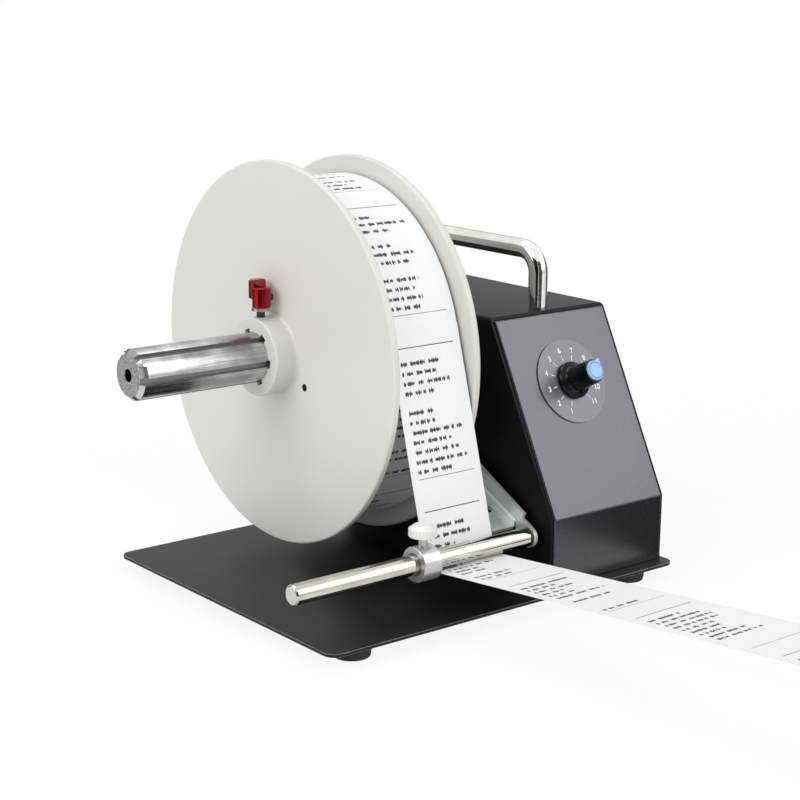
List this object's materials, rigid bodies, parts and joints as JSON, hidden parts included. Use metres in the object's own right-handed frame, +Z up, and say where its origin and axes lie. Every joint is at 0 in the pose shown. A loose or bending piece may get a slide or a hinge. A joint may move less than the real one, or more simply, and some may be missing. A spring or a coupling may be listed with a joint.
{
  "type": "label rewinder",
  "caption": "Bench-top powered label rewinder: label roll between discs on a fluted spindle, tension arm with guide rod, black housing with speed dial and carrying handle.",
  "frame": {"origin": "centre of the whole part's footprint, the rising label strip included, on the surface that the rubber feet stand on", "axes": "+X from the spindle's free end towards the housing, +Y from the front to the back, +Z up"},
  "size_m": [0.242, 0.445, 0.2144],
  "materials": {
    "black_coat": "fine matt powder coat",
    "panel_coat": "fine satin powder coat",
    "disc_white": "satin moulded",
    "spindle_metal": "turned and anodised, bright flutes",
    "steel": "turned",
    "polished_bar": "polished",
    "zinc_plated": "zinc plated",
    "screw_steel": "plated",
    "red_anodised": "red anodised",
    "dark_steel": "blackened",
    "white_knob": "semi-gloss moulded",
    "collar_steel": "satin turned",
    "dial_black": "satin, white printing",
    "knob_black": "satin moulded",
    "cap_blue": "satin moulded",
    "paper_white": "uncoated",
    "card": "wound card",
    "foot_rubber": "matt",
    "zinc_case": "zinc plated",
    "motor_steel": "brushed",
    "brass": "turned",
    "gear_acetal": "moulded acetal",
    "board_green": "circuit board",
    "black_moulded": "moulded"
  },
  "bodies": {
    "machine": {"base_plate": "black_coat", "rubber_feet": "foot_rubber", "foot_screws": "screw_steel", "housing_shell": "black_coat", "front_panel": "panel_coat", "rear_panel": "black_coat", "panel_screws": "screw_steel", "base_screws": "screw_steel", "carry_handle": "polished_bar", "handle_screws": "screw_steel", "dial_plate": "dial_black", "potentiometer": "zinc_case", "pot_nut": "steel", "label_tail": "paper_white", "arm_pivot_bush": "brass", "arm_sensor": "black_moulded", "arm_stop_pin": "zinc_plated", "drive_bracket": "zinc_plated", "shaft_bearings": "steel", "gear_motor": "motor_steel", "motor_screws": "screw_steel", "board_pillars": "brass", "board_screws": "screw_steel", "control_board": "board_green", "power_jack": "black_moulded", "switch_body": "black_moulded"},
    "spindle": {"spindle_mandrel": "spindle_metal", "drive_shaft": "steel", "shaft_rings": "dark_steel", "inner_disc": "disc_white", "disc_grub": "dark_steel", "roll_core": "card", "label_roll": "paper_white", "driven_gear": "gear_acetal", "gear_grub": "dark_steel"},
    "pinion": {"motor_pinion": "brass", "motor_shaft": "steel"},
    "outer_flange": {"outer_disc": "disc_white"},
    "clamp_screw": {"clamp_head": "red_anodised", "clamp_stud": "dark_steel", "clamp_washer": "steel"},
    "arm": {"tension_arm": "zinc_plated", "guide_rod": "polished_bar", "rod_spacer": "dark_steel", "arm_pivot_shaft": "steel", "sensor_flag": "black_moulded", "label_strand": "paper_white"},
    "rod_stop": {"stop_collar": "collar_steel"},
    "thumb_screw": {"collar_screw_head": "white_knob", "collar_screw_stud": "dark_steel"},
    "speed_dial": {"speed_knob": "knob_black", "knob_cap": "cap_blue", "pot_shaft": "steel"},
    "switch": {"switch_rocker": "black_moulded"}
  },
  "joints": [
    {"name": "spindle_spin", "type": "hinge", "parent": "machine", "child": "spindle", "pos_m": [-0.034, 0.1225, 0.1144], "axis": [1, 0, 0], "continuous": true},
    {"name": "motor_spin", "type": "hinge", "parent": "machine", "child": "pinion", "pos_m": [-0.034, 0.1225, 0.0869], "axis": [1, 0, 0], "continuous": true},
    {"name": "flange_slide", "type": "slide", "parent": "spindle", "child": "outer_flange", "axis": [-1, 0, 0], "range_m": [0, 0.068]},
    {"name": "clamp_turn", "type": "hinge", "parent": "outer_flange", "child": "clamp_screw", "pos_m": [-0.042, 0.1225, 0.1424], "axis": [0, 0, 1], "range_deg": [0, 360]},
    {"name": "arm_swing", "type": "hinge", "parent": "machine", "child": "arm", "pos_m": [0.026, 0.0925, 0.0814], "axis": [-1, 0, 0], "range_deg": [0, 25], "deforming": ["label_strand", "label_tail"]},
    {"name": "stop_slide", "type": "slide", "parent": "arm", "child": "rod_stop", "axis": [-1, 0, 0], "range_m": [0, 0.066]},
    {"name": "thumb_turn", "type": "hinge", "parent": "rod_stop", "child": "thumb_screw", "pos_m": [-0.0342, -0.0003, 0.0444], "axis": [0, 0, 1], "range_deg": [0, 360]},
    {"name": "knob_turn", "type": "hinge", "parent": "machine", "child": "speed_dial", "pos_m": [0.0795, 0.0184, 0.10367], "axis": [0, 0.8893, -0.4573], "range_deg": [-190.5, 109.5]},
    {"name": "rocker_tip", "type": "hinge", "parent": "machine", "child": "switch", "pos_m": [0.078, 0.1523, 0.0306], "axis": [-1, 0, 0], "range_deg": [0, 14]}
  ],
  "couplings": [
    {"joint": "motor_spin", "follows": "spindle_spin", "ratio": -2.6667}
  ]
}
